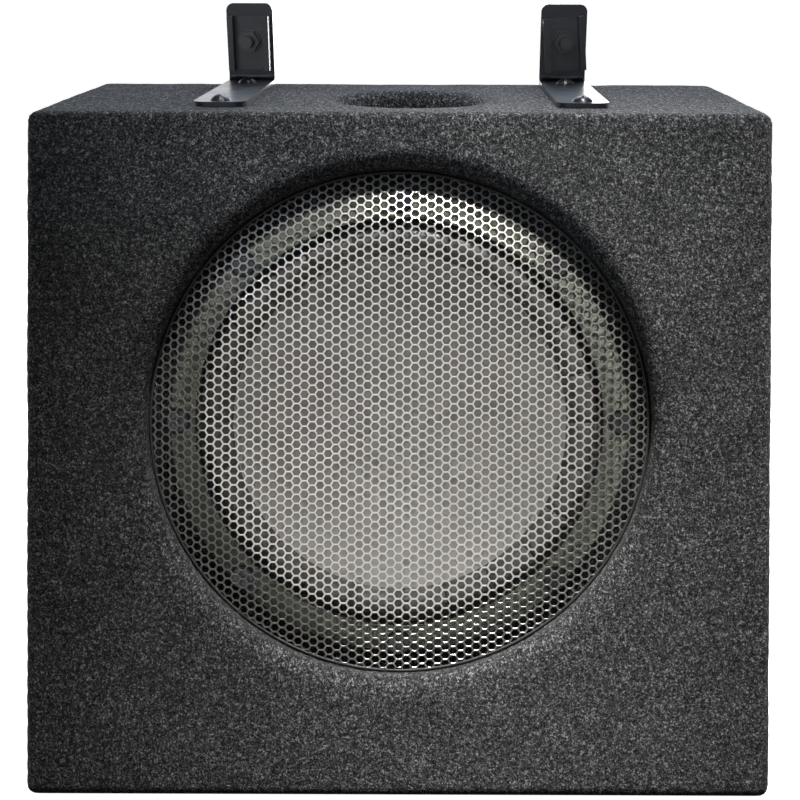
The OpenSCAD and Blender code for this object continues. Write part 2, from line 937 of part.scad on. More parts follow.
module clamp_channel(x, turn) {
  height = channel_up + channel_down;
  color("#1b1c1f") translate([x, channel_y, box_h + bolt_z]) rotate([0, -turn, 0])
    difference() {
      translate([-channel_w / 2, -channel_flange, -channel_down])
        cube([channel_w, channel_flange, height]);
      translate([-channel_w / 2 + channel_flange_t, -channel_flange - 1, -channel_down - 1])
        cube([channel_w - 2 * channel_flange_t, channel_flange + 1 - channel_t, height + 2]);
      translate([0, 1, 0]) rotate([90, 0, 0]) cylinder(r = bolt_hole_r, h = 20);
    }
}

module clamp_washer(x) {
  color("#4b4c50") difference() {
    on_bolt(x, washer_y, washer_r, washer_t);
    on_bolt(x, washer_y + 1, bolt_hole_r, washer_t + 2);
  }
}

module clamp_nut(x) {
  color("#3a3b3e") difference() {
    on_bolt(x, nut_y, hex_r, nut_t, 6);
    on_bolt(x, nut_y + 1, nut_hole_r, nut_t + 2);
  }
}

module clamp_bolt_left() { clamp_bolt(-bracket_x); }
module clamp_bolt_right() { clamp_bolt(bracket_x); }
module clamp_channel_left() { clamp_channel(-bracket_x, 0); }
module clamp_channel_right() { clamp_channel(bracket_x, right_turn); }
module clamp_washer_left() { clamp_washer(-bracket_x); }
module clamp_washer_right() { clamp_washer(bracket_x); }
module clamp_nut_left() { clamp_nut(-bracket_x); }
module clamp_nut_right() { clamp_nut(bracket_x); }
module gain_knob() { knob(gain_y); }
module crossover_knob() { knob(crossover_y); }
module bass_knob() { knob(bass_y); }

front_baffle();
inner_baffle();
top_panel();
bottom_panel();
back_panel();
left_side_panel();
right_side_panel();
carpet_wrap();
carpet_bottom();
carpet_side_left();
carpet_side_right();
port_tube();
grille();
basket();
trim_ring();
driver_screws();
surround();
cone();
voice_coil_former();
voice_coil();
spider();
top_plate();
magnet();
t_yoke();
speaker_terminals();
tinsel_leads();
speaker_cable();
amp_plate();
amp_gasket();
amp_back_box();
amp_circuit_board();
amp_toroid();
amp_capacitors();
amp_transistors();
amp_screws();
power_terminal_block();
terminal_screws();
input_socket();
rca_sockets();
remote_jack();
gain_knob();
crossover_knob();
bass_knob();
phase_switch();
power_led();
fuse_holder();
fuse();
bracket_left();
bracket_right();
bracket_screws();
clamp_bolt_left();
clamp_bolt_right();
clamp_channel_left();
clamp_channel_right();
clamp_washer_left();
clamp_washer_right();
clamp_nut_left();
clamp_nut_right();
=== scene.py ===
"""Looks of the powered car subwoofer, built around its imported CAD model."""
import json
import math

import bmesh
import bpy
import numpy as np
from mathutils import Matrix, Vector, noise


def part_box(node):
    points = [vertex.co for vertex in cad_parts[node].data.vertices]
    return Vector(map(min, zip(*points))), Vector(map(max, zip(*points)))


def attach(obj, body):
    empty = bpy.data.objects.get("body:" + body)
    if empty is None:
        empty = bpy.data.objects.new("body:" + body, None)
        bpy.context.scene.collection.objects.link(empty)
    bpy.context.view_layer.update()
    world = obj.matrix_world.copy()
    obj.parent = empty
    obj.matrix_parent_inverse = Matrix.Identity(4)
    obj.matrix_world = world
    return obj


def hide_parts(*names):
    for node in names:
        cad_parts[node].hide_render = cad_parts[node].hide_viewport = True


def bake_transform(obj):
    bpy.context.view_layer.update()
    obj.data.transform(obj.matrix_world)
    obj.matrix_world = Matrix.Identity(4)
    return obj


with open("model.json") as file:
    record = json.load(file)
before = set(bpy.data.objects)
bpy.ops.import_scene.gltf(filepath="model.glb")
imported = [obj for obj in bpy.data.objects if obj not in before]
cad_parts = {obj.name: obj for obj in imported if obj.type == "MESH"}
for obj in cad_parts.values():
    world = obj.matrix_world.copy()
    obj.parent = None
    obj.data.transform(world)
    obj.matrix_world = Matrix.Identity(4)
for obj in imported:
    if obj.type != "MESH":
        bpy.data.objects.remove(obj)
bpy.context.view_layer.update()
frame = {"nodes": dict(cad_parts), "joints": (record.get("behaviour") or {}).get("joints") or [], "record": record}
NODES = frame["nodes"]
MM = 0.001
RNG = np.random.default_rng(7)

# ---------------------------------------------------------------- geometry

# The box, its leaning front and the driver's own frame
JOINT_AXIS = {j["name"]: Vector(j["axis"]) for j in frame["joints"]}
X = Vector((1, 0, 0))
OUT = JOINT_AXIS["cone_travel"].normalized()
UP = OUT.cross(X)
LEAN = math.asin(OUT.z)
BOX_LOW, BOX_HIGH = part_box("carpet_wrap")
BOX_W = BOX_HIGH.x - BOX_LOW.x
BOX_H = BOX_HIGH.z
BACK_Y = BOX_HIGH.y
EDGE_R = 5 * MM
CARPET_T = 3 * MM
BOARD_T = 15 * MM
CAD_EDGE_R = 6 * MM
FRONT_Y = BOX_LOW.y - CAD_EDGE_R * (math.tan(LEAN) + 1 / math.cos(LEAN) - 1)
DRIVER_S = 173 * MM
DRIVER = Vector((0, FRONT_Y, 0)) + UP * DRIVER_S
DRIVER_FRAME = Matrix.Translation(DRIVER) @ Matrix((X, UP, OUT)).transposed().to_4x4()
RECESS_R = 116.8 * MM
RECESS_DEPTH = CARPET_T + BOARD_T
FLANGE_R = 106.5 * MM
ROLL_R = 8 * MM
PORT_R = 34 * MM
PORT_DEPTH = 35 * MM
POCKET_DEPTH = 12 * MM
POCKET_GAP = 0.6 * MM
POCKET_ROLL_R = 1.5 * MM
PORT_LOW, PORT_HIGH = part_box("port_tube")
PORT_X = (PORT_LOW.x + PORT_HIGH.x) / 2
PORT_Y = (PORT_LOW.y + PORT_HIGH.y) / 2
BRACKET_X = (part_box("bracket_right")[0].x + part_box("bracket_right")[1].x) / 2


def new_object(name, verts, faces, materials, smooth=True, matrix=None):
    """A mesh object from points and faces, moved by matrix if it is given."""
    mesh = bpy.data.meshes.new(name)
    mesh.from_pydata([tuple(v) for v in verts], [], faces)
    if matrix is not None:
        mesh.transform(matrix)
    mesh.validate()
    if smooth:
        mesh.shade_smooth()
    obj = bpy.data.objects.new(name, mesh)
    bpy.context.scene.collection.objects.link(obj)
    for m in materials:
        mesh.materials.append(m)
    return obj


def clean(obj, distance=1e-6):
    """Merges doubled points, drops flat faces and makes the normals agree."""
    bm = bmesh.new()
    bm.from_mesh(obj.data)
    bmesh.ops.remove_doubles(bm, verts=bm.verts, dist=distance)
    bmesh.ops.dissolve_degenerate(bm, edges=bm.edges, dist=distance)
    bmesh.ops.recalc_face_normals(bm, faces=bm.faces)
    bm.to_mesh(obj.data)
    bm.free()
    return obj


def lathe(name, profile, segments, materials, matrix=None, closed=True, arc=None):
    """Turns a profile of (radius, height) points about Z. arc = (start, end) in
    degrees makes only that part of the turn, with flat ends."""
    start, end = arc or (0, 360)
    full = arc is None
    columns = segments if full else segments + 1
    count = len(profile)
    verts = []
    for c in range(columns):
        a = math.radians(start + (end - start) * c / segments)
        verts += [(r * math.cos(a), r * math.sin(a), z) for r, z in profile]
    faces = []
    steps = count if closed else count - 1
    for c in range(segments):
        n = (c + 1) % columns if full else c + 1
        for k in range(steps):
            m = (k + 1) % count
            faces.append((c * count + k, n * count + k, n * count + m, c * count + m))
    if not full and closed:
        faces.append(tuple(range(count)))
        faces.append(tuple(range((columns - 1) * count, columns * count))[::-1])
    return clean(new_object(name, verts, faces, materials, matrix=matrix))


def bevel(obj, width, segments=2, angle=35):
    """Rounds the sharp edges of a piece by width, without changing its mesh."""
    mod = obj.modifiers.new("edges", "BEVEL")
    mod.width = width
    mod.segments = segments
    mod.limit_method = "ANGLE"
    mod.angle_limit = math.radians(angle)
    mod.harden_normals = True
    mod.use_clamp_overlap = True


# --------------------------------------------------------------- materials


class Shader:
    """A procedural material, with short calls for the nodes it is made of."""

    def __init__(self, name, color=(0.5, 0.5, 0.5), roughness=0.5, metallic=0.0):
        self.mat = bpy.data.materials.new(name)
        self.mat.use_nodes = True
        self.tree = self.mat.node_tree
        self.bsdf = self.tree.nodes["Principled BSDF"]
        self.bsdf.inputs["Base Color"].default_value = (*color, 1)
        self.bsdf.inputs["Roughness"].default_value = roughness
        self.bsdf.inputs["Metallic"].default_value = metallic
        self.coords = self.node("ShaderNodeTexCoord").outputs["Object"]

    def node(self, kind, **values):
        n = self.tree.nodes.new(kind)
        for key, value in values.items():
            setattr(n, key, value)
        return n

    def link(self, a, b):
        self.tree.links.new(a, b)

    def set(self, **values):
        for key, value in values.items():
            self.bsdf.inputs[key.replace("_", " ")].default_value = value
        return self

    def mapped(self, scale=(1, 1, 1), rotation=(0, 0, 0)):
        n = self.node("ShaderNodeMapping")
        n.inputs["Scale"].default_value = scale
        n.inputs["Rotation"].default_value = rotation
        self.link(self.coords, n.inputs["Vector"])
        return n.outputs["Vector"]

    def noise(self, scale, detail=2.0, roughness=0.5, distortion=0.0, vector=None):
        n = self.node("ShaderNodeTexNoise")
        n.inputs["Scale"].default_value = scale
        n.inputs["Detail"].default_value = detail
        n.inputs["Roughness"].default_value = roughness
        n.inputs["Distortion"].default_value = distortion
        self.link(vector or self.coords, n.inputs["Vector"])
        return n.outputs["Fac"]

    def voronoi(self, scale, feature="F1", vector=None):
        n = self.node("ShaderNodeTexVoronoi", feature=feature)
        n.inputs["Scale"].default_value = scale
        self.link(vector or self.coords, n.inputs["Vector"])
        return n.outputs["Distance"]

    def ramp(self, value, stops):
        """Maps a value through (position, color) stops."""
        n = self.node("ShaderNodeValToRGB")
        ramp = n.color_ramp
        while len(ramp.elements) < len(stops):
            ramp.elements.new(1.0)
        for element, (position, color) in zip(ramp.elements, stops):
            element.position = position
            c = color if isinstance(color, tuple) else (color, color, color)
            element.color = (*c, 1)
        self.link(value, n.inputs["Fac"])
        return n.outputs["Color"]

    def mix(self, a, b, factor, mode="MIX"):
        n = self.node("ShaderNodeMix", data_type="RGBA", blend_type=mode)
        for index, value in ((0, factor), (6, a), (7, b)):
            if hasattr(value, "is_linked"):
                self.link(value, n.inputs[index])
            elif index == 0:
                n.inputs[index].default_value = value
            else:
                n.inputs[index].default_value = (*value, 1)
        return n.outputs[2]

    def math(self, operation, a, b):
        n = self.node("ShaderNodeMath", operation=operation)
        for index, value in enumerate((a, b)):
            if hasattr(value, "is_linked"):
                self.link(value, n.inputs[index])
            else:
                n.inputs[index].default_value = value
        return n.outputs[0]

    def color(self, output):
        self.link(output, self.bsdf.inputs["Base Color"])
        return self

    def rough(self, value, low, high):
        n = self.node("ShaderNodeMapRange")
        n.inputs["To Min"].default_value = low
        n.inputs["To Max"].default_value = high
        self.link(value, n.inputs["Value"])
        self.link(n.outputs["Result"], self.bsdf.inputs["Roughness"])
        return self

    def bump(self, height, distance, strength=1.0):
        n = self.node("ShaderNodeBump")
        n.inputs["Distance"].default_value = distance
        n.inputs["Strength"].default_value = strength
        self.link(height, n.inputs["Height"])
        self.link(n.outputs["Normal"], self.bsdf.inputs["Normal"])
        return self


def speckled(name, dark, light, scale, roughness, grain, metallic=0.0):
    """Plain finish with fine grain: moulded plastic, paint, plating or rubber."""
    s = Shader(name, dark, roughness, metallic)
    fine = s.noise(scale, 4)
    wide = s.noise(scale * 0.03, 3)
    s.color(s.mix(dark, light, s.ramp(wide, ((0.3, 0.0), (0.75, 1.0)))))
    s.rough(s.noise(scale * 0.08, 3), roughness - 0.08, roughness + 0.1)
    s.bump(fine, grain)
    return s.mat


def felt_material():
    """Charcoal needle felt: dark and light fibres, matted in small tufts."""
    s = Shader("felt", (0.03, 0.03, 0.033), 0.95)
    nap = s.mapped(scale=(1, 0.55, 1))
    fibre = s.noise(1250, 2, 0.6, 0.6, nap)
    tuft = s.noise(520, 3, 0.6, 0.2, nap)
    patch = s.noise(38, 3, 0.6)
    mixed = s.math("ADD", s.math("MULTIPLY", fibre, 0.66), s.math("MULTIPLY", tuft, 0.34))
    tone = s.ramp(mixed, (
        (0.38, (0.005, 0.0053, 0.0062)),
        (0.48, (0.025, 0.0255, 0.0270)),
        (0.56, (0.080, 0.081, 0.082)),
        (0.66, (0.300, 0.300, 0.296)),
    ))
    cloud = s.ramp(patch, ((0.3, 0.82), (0.7, 1.18)))
    s.color(s.mix(tone, cloud, 1.0, "MULTIPLY"))
    s.set(Sheen_Weight=0.04, Sheen_Roughness=0.5, Specular_IOR_Level=0.1)
    s.bump(mixed, 0.9 * MM, 0.9)
    return s.mat


def fibre_material():
    """Loose fibres that stand off the felt."""
    s = Shader("felt_fibre", (0.10, 0.10, 0.105), 0.8)
    s.color(s.ramp(s.noise(300, 1), ((0.35, 0.03), (0.5, 0.10), (0.66, 0.32))))
    s.set(Specular_IOR_Level=0.2)
    return s.mat


def grille_material():
    """Satin metallic coat on punched steel."""
    s = Shader("grille_steel", (0.6, 0.588, 0.56), 0.3, 0.88)
    wide = s.noise(26, 3)
    s.color(s.ramp(wide, ((0.3, (0.57, 0.558, 0.53)), (0.7, (0.64, 0.628, 0.6)))))
    s.rough(s.noise(240, 3), 0.26, 0.36)
    s.bump(s.noise(2600, 2), 0.02 * MM)
    return s.mat


def cone_material():
    """Warm grey matt coat on the cone."""
    s = Shader("cone_metal", (0.36, 0.35, 0.33), 0.62, 0.1)
    s.color(s.ramp(s.noise(30, 4), ((0.3, (0.335, 0.325, 0.306)), (0.7, (0.385, 0.374, 0.353)))))
    s.rough(s.noise(90, 4), 0.5, 0.62)
    s.bump(s.noise(1500, 4), 0.03 * MM)
    return s.mat


def foam_material():
    """Sage-grey gasket foam with open pores, darkened with painted shade."""
    s = Shader("trim_foam", (0.22, 0.235, 0.19), 0.8)
    pores = s.voronoi(1500)
    # Painted shade: the pores are coloured darker, as shade inside them would look.
    pore_shade = s.ramp(pores, ((0.05, 0.0), (0.6, 1.0)))
    s.color(s.mix((0.25, 0.265, 0.215), (0.13, 0.14, 0.11), pore_shade))
    s.bump(pores, 0.12 * MM, 0.7)
    return s.mat


def wood_material():
    """Raw fibre board."""
    s = Shader("board", (0.5, 0.38, 0.24), 0.85)
    grain = s.noise(900, 4)
    s.color(s.ramp(grain, ((0.3, (0.34, 0.24, 0.14)), (0.7, (0.56, 0.42, 0.27)))))
    s.bump(grain, 0.15 * MM)
    return s.mat


def circuit_material():
    """Green solder mask with copper tracks under it."""
    s = Shader("circuit", (0.01, 0.08, 0.03), 0.35)
    tracks = s.node("ShaderNodeTexBrick")
    tracks.inputs["Scale"].default_value = 110
    tracks.inputs["Mortar Size"].default_value = 0.06
    s.link(s.mapped(rotation=(0, math.pi / 2, 0)), tracks.inputs["Vector"])
    s.color(s.mix((0.008, 0.06, 0.02), (0.03, 0.16, 0.05), tracks.outputs["Fac"]))
    s.bump(tracks.outputs["Fac"], 0.05 * MM)
    return s.mat


def wound_material(name, color, pitch):
    """Wire wound side by side, with painted shade in the grooves between the turns."""
    s = Shader(name, color, 0.3, 0.8)
    wave = s.node("ShaderNodeTexWave", wave_type="RINGS", rings_direction="X")
    wave.inputs["Scale"].default_value = 1 / pitch
    s.link(s.coords, wave.inputs["Vector"])
    # Painted shade: a darker copy of the copper colour fills the grooves between turns.
    dark = tuple(c * 0.45 for c in color)
    s.color(s.mix(dark, color, wave.outputs["Fac"]))
    s.bump(wave.outputs["Fac"], 0.2 * MM)
    return s.mat


def cloth_material(name, dark, light, pitch):
    """Plain woven cloth, stiffened with resin."""
    s = Shader(name, light, 0.75)
    bands = []
    for direction in ("X", "Z"):
        wave = s.node("ShaderNodeTexWave", wave_type="BANDS", bands_direction=direction)
        wave.inputs["Scale"].default_value = 0.3 / pitch
        s.link(s.coords, wave.inputs["Vector"])
        bands.append(wave.outputs["Fac"])
    weave = s.math("MULTIPLY", bands[0], bands[1])
    s.color(s.mix(dark, light, weave))
    s.bump(weave, 0.2 * MM)
    return s.mat


# Each plain finish: dark and light colour, grain scale, roughness, grain height in mm, metal
PLAIN_FINISHES = {
    "port_plastic": ((0.012, 0.012, 0.013), (0.02, 0.02, 0.022),
        900, 0.5, 0.05, 0.0),
    "basket_steel": ((0.012, 0.012, 0.013), (0.02, 0.02, 0.021),
        700, 0.4, 0.03, 0.3),
    "black_screw": ((0.035, 0.036, 0.04), (0.07, 0.07, 0.076),
        1200, 0.32, 0.02, 0.8),
    "surround_rubber": ((0.105, 0.1, 0.095), (0.14, 0.135, 0.125),
        800, 0.42, 0.04, 0.0),
    "black_board": ((0.012, 0.012, 0.013), (0.02, 0.02, 0.021),
        500, 0.7, 0.1, 0.0),
    "rim_paint": ((0.02, 0.02, 0.021), (0.03, 0.03, 0.032),
        900, 0.55, 0.03, 0.0),
    "former_film": ((0.55, 0.42, 0.2), (0.66, 0.52, 0.28),
        400, 0.3, 0.01, 0.6),
    "steel": ((0.48, 0.49, 0.5), (0.6, 0.61, 0.62),
        600, 0.3, 0.02, 1.0),
    "ferrite": ((0.035, 0.035, 0.04), (0.06, 0.06, 0.065),
        500, 0.6, 0.08, 0.0),
    "tag": ((0.55, 0.46, 0.26), (0.66, 0.56, 0.34),
        500, 0.35, 0.02, 0.8),
    "wire_jacket": ((0.3, 0.02, 0.02), (0.4, 0.04, 0.03),
        600, 0.45, 0.03, 0.0),
    "amp_metal": ((0.02, 0.021, 0.024), (0.034, 0.035, 0.039),
        1100, 0.38, 0.03, 0.7),
    "gasket": ((0.01, 0.01, 0.01), (0.02, 0.02, 0.02),
        900, 0.8, 0.08, 0.0),
    "housing": ((0.014, 0.014, 0.016), (0.024, 0.024, 0.026),
        900, 0.5, 0.05, 0.0),
    "capacitor": ((0.02, 0.035, 0.09), (0.03, 0.05, 0.13),
        300, 0.3, 0.01, 0.0),
    "socket_white": ((0.7, 0.68, 0.6), (0.8, 0.78, 0.7),
        700, 0.45, 0.03, 0.0),
    "socket_metal": ((0.72, 0.54, 0.24), (0.82, 0.65, 0.34),
        700, 0.25, 0.01, 1.0),
    "knob_plastic": ((0.012, 0.012, 0.013), (0.022, 0.022, 0.024),
        1400, 0.45, 0.06, 0.0),
    "switch_plastic": ((0.6, 0.6, 0.58), (0.72, 0.72, 0.7),
        700, 0.35, 0.02, 0.0),
    "led": ((0.03, 0.42, 0.09), (0.05, 0.6, 0.14),
        300, 0.15, 0.0, 0.0),
    "fuse_plastic": ((0.7, 0.34, 0.02), (0.8, 0.44, 0.05),
        300, 0.2, 0.01, 0.0),
    "bracket_steel": ((0.028, 0.03, 0.036), (0.045, 0.048, 0.057),
        900, 0.3, 0.03, 0.6),
    "clamp_steel": ((0.036, 0.038, 0.043), (0.055, 0.058, 0.066),
        900, 0.28, 0.03, 0.65),
    "bolt_steel": ((0.05, 0.051, 0.055), (0.085, 0.087, 0.092),
        1100, 0.3, 0.02, 0.85),
}

MAT = {
    "felt": felt_material(),
    "fibre": fibre_material(),
    "grille_steel": grille_material(),
    "cone_metal": cone_material(),
    "trim_foam": foam_material(),
    "board": wood_material(),
    "circuit": circuit_material(),
    "copper": wound_material("copper", (0.72, 0.33, 0.14), 0.8 * MM),
    "spider_cloth": cloth_material("spider_cloth", (0.35, 0.24, 0.07), (0.66, 0.5, 0.2), 1 * MM),
}
for finish, (dark, light, scale, roughness, grain, metallic) in PLAIN_FINISHES.items():
    MAT[finish] = speckled(finish, dark, light, scale, roughness, grain * MM, metallic)

# Width in mm of the rounded edges, by the start of a node's name
EDGE_WIDTHS = {
    "bracket": 0.5, "clamp": 0.4, "amp_plate": 0.3, "trim_ring": 0.4,
    "power_terminal": 0.4, "input_socket": 0.4, "fuse": 0.35, "rca": 0.25,
    "remote": 0.3, "phase": 0.3,
}


def finish_cad_nodes():
    """Gives each carried-over CAD node the finish of its slot, and soft edges where its name is listed."""
    slots = {p["node"]: p["material_slot"] for p in frame["record"]["subparts"]}
    for name, obj in NODES.items():
        obj.data.materials.clear()
        obj.data.materials.append(MAT[slots[name]])
        for start, width in EDGE_WIDTHS.items():
            if name.startswith(start):
                bevel(obj, width * MM)
                break


# ------------------------------------------------------------------ carpet


def wedge_distance(p, inset):
    """Signed distance from the sharp box, moved inwards by inset on all sides."""
    tan, cos = math.tan(LEAN), math.cos(LEAN)
    low, high, back = inset, BOX_H - inset, BACK_Y - inset

    def front(z):
        return FRONT_Y + z * tan + inset / cos

    corners = [(front(low), low), (back, low), (back, high), (front(high), high)]
    y, z = p[..., 1], p[..., 2]
    nearest = np.full(y.shape, 1e9)
    inside = np.full(y.shape, True)
    for k in range(4):
        (ay, az), (by, bz) = corners[k], corners[(k + 1) % 4]
        ey, ez = by - ay, bz - az
        t = np.clip(((y - ay) * ey + (z - az) * ez) / (ey * ey + ez * ez), 0, 1)
        nearest = np.minimum(nearest, np.hypot(y - ay - t * ey, z - az - t * ez))
        inside &= ey * (z - az) - ez * (y - ay) > 0
    flat = np.where(inside, -nearest, nearest)
    across = np.abs(p[..., 0]) - (BOX_W / 2 - inset)
    outside = np.hypot(np.maximum(flat, 0), np.maximum(across, 0))
    return outside + np.minimum(np.maximum(flat, across), 0)


def rounded_cut(solid, hole, radius):
    """Cuts hole out of solid and rounds the edge between them."""
    u = np.maximum(radius + solid, 0)
    v = np.maximum(radius - hole, 0)
    return np.minimum(-radius, np.maximum(solid, -hole)) + np.hypot(u, v)


def from_driver(p):
    """Height above the driver's centre along its axis, and distance from that axis."""
    local = p - np.array(DRIVER)
    along = local @ np.array(OUT)
    return along, np.sqrt(np.maximum((local ** 2).sum(-1) - along ** 2, 0))


def felt_distance(p):
    """Signed distance from the felt's outer surface."""
    d = wedge_distance(p, EDGE_R) - EDGE_R
    along, radial = from_driver(p)
    recess = np.maximum(radial - RECESS_R, -along - RECESS_DEPTH + 0.3 * MM)
    d = rounded_cut(d, recess, ROLL_R)
    around = np.hypot(p[..., 0] - PORT_X, p[..., 1] - PORT_Y)
    port = np.maximum(around - PORT_R, BOX_H - PORT_DEPTH - p[..., 2])
    d = rounded_cut(d, port, ROLL_R)
    low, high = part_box("amp_plate")
    wall = np.maximum(np.abs(p[..., 1] - (low.y + high.y) / 2) - (high.y - low.y) / 2,
                      np.abs(p[..., 2] - (low.z + high.z) / 2) - (high.z - low.z) / 2)
    pocket = np.maximum(wall - POCKET_GAP, BOX_W / 2 - POCKET_DEPTH - p[..., 0])
    return rounded_cut(d, pocket, POCKET_ROLL_R)


def surface_net(distance, low, high, step):
    """Points and quads of the surface where distance is zero, one point a cell."""
    counts = [int(math.ceil((h - l) / step)) + 1 for l, h in zip(low, high)]
    axes = [l + step * np.arange(n) for l, n in zip(low, counts)]
    grid = np.stack(np.meshgrid(*axes, indexing="ij"), -1)
    inside = distance(grid) < 0
    spans = [(slice(0, c - 1), slice(1, c)) for c in counts]
    total = sum(inside[a, b, c].astype(int)
                for a in spans[0] for b in spans[1] for c in spans[2])
    active = (total > 0) & (total < 8)
    number = np.full(active.shape, -1)
    number[active] = np.arange(active.sum())
    points = grid[:-1, :-1, :-1][active] + step / 2
    for _ in range(6):
        points = to_surface(distance, points)
    quads = []
    for axis in range(3):
        a, b = (axis + 1) % 3, (axis + 2) % 3
        lower = [slice(1, c - 1) for c in counts]
        upper = list(lower)
        lower[axis] = slice(0, counts[axis] - 1)
        upper[axis] = slice(1, counts[axis])
        first, second = inside[tuple(lower)], inside[tuple(upper)]
        for found, flip in ((first & ~second, False), (~first & second, True)):
            cell = np.argwhere(found)
            cell[:, a] += 1
            cell[:, b] += 1
            corners = []
            for da, db in ((0, 0), (-1, 0), (-1, -1), (0, -1)):
                c = cell.copy()
                c[:, a] += da
                c[:, b] += db
                corners.append(number[c[:, 0], c[:, 1], c[:, 2]])
            quad = np.stack(corners, 1)
            quads.append(quad[:, ::-1] if flip else quad)
    return points, np.concatenate(quads)


def gradient(distance, points, h=0.2 * MM):
    """Outward direction of a distance field at points."""
    g = np.stack([distance(points + h * e) - distance(points - h * e) for e in np.eye(3)], -1)
    return g / np.maximum(np.linalg.norm(g, axis=1, keepdims=True), 1e-9)


def to_surface(distance, points):
    """Moves points most of the way to where distance is zero."""
    return points - 0.9 * distance(points)[:, None] * gradient(distance, points)


def make_felt():
    """The carpet as one skin over the box, rolled into the recess and the port."""
    step = 2.6 * MM
    pad = 2 * step + 0.37 * MM
    low = [BOX_LOW.x - pad, BOX_LOW.y - pad, -pad]
    high = [BOX_HIGH.x + pad, BOX_HIGH.y + pad, BOX_HIGH.z + pad]
    points, quads = surface_net(felt_distance, low, high, step)
    along, radial = from_driver(points)
    deep = (along < -RECESS_DEPTH + 1.5 * MM) & (along > -2 * RECESS_DEPTH)
    deep &= radial < FLANGE_R + 1 * MM
    around = np.hypot(points[:, 0] - PORT_X, points[:, 1] - PORT_Y)
    sunk = (points[:, 2] < BOX_H - 12.5 * MM) & (points[:, 2] > BOX_H - 60 * MM)
    deep |= sunk & (around < PORT_R + 1 * MM)
    plate_low, plate_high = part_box("amp_plate")
    near = ((points[:, 1] > plate_low.y - 2 * MM) & (points[:, 1] < plate_high.y + 2 * MM)
            & (points[:, 2] > plate_low.z - 2 * MM) & (points[:, 2] < plate_high.z + 2 * MM))
    deep |= near & (points[:, 0] < BOX_W / 2 - 9 * MM) & (points[:, 0] > 0)
    quads = quads[~deep[quads].any(1)]
    normals = gradient(felt_distance, points)
    lift = np.array([noise.noise(Vector(p) * 28) + 0.6 * noise.noise(Vector(p) * 110)
                     for p in points])
    rests = points[:, 2] < EDGE_R
    points = points + normals * (np.where(rests, 0, lift) * 0.28 * MM)[:, None]
    used, flat = np.unique(quads, return_inverse=True)
    obj = new_object("carpet", points[used], flat.reshape(quads.shape).tolist(), [MAT["felt"]])
    thickness = obj.modifiers.new("thickness", "SOLIDIFY")
    thickness.thickness = 1.6 * MM
    thickness.offset = -1
    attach(obj, "cabinet")
    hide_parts("carpet_wrap", "carpet_bottom", "carpet_side_left", "carpet_side_right")
    return points, normals, quads


def make_fibres(points, normals, quads, count=26000):
    """Loose fibres: thin bent ribbons that lie on the felt and stand off its edges."""
    picks = quads[RNG.integers(0, len(quads), count)]
    blend = RNG.dirichlet((1, 1, 1, 1), count)[:, :, None]
    root = (points[picks] * blend).sum(1)
    normal = (normals[picks] * blend).sum(1)
    normal /= np.linalg.norm(normal, axis=1, keepdims=True)
    keep = root[:, 2] > EDGE_R
    root, normal = root[keep], normal[keep]
    count = len(root)
    side = np.cross(normal, RNG.normal(size=(count, 3)))
    side /= np.linalg.norm(side, axis=1, keepdims=True)
    turn = np.cross(normal, side)
    length = RNG.uniform(0.9, 2.6, count)[:, None] * MM
    rise = RNG.uniform(0.1, 0.55, count)[:, None]
    curl = RNG.uniform(-0.5, 0.5, count)[:, None]
    width = RNG.uniform(0.05, 0.09, count)[:, None] * MM
    verts = []
    for t, lift_share in ((0.0, -0.15), (0.5, 0.9), (1.0, 0.7)):
        bend = t * side + curl * t * t * turn
        centre = root + length * (bend + rise * lift_share * 0.5 * normal)
        verts += [centre - width / 2 * turn, centre + width / 2 * turn]
    verts = np.stack(verts, 1).reshape(-1, 3)
    faces = []
    for i in range(count):
        b = 6 * i
        faces += [(b, b + 1, b + 3, b + 2), (b + 2, b + 3, b + 5, b + 4)]
    obj = new_object("carpet_fibres", verts, faces, [MAT["fibre"]])
    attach(obj, "cabinet")


# ------------------------------------------------------------------ grille

GRILLE_DEPTH = 5 * MM
GRILLE_FLAT_R = 91 * MM
GRILLE_SLOPE = 0.35
GRILLE_BEND = 2.5 * MM
GRILLE_T = 1.0 * MM
GRILLE_R = 115.6 * MM
GRILLE_EDGE_R = 116.5 * MM
HOLE_PITCH = 4.16 * MM
HOLE_BAR = 0.78 * MM


def dish_height(r):
    """Height of the grille's face at radius r, in the driver's frame."""
    over = r - GRILLE_FLAT_R
    if over <= -GRILLE_BEND:
        run = 0.0
    elif over < GRILLE_BEND:
        run = (over + GRILLE_BEND) ** 2 / (4 * GRILLE_BEND)
    else:
        run = over
    return -GRILLE_DEPTH - GRILLE_SLOPE * run


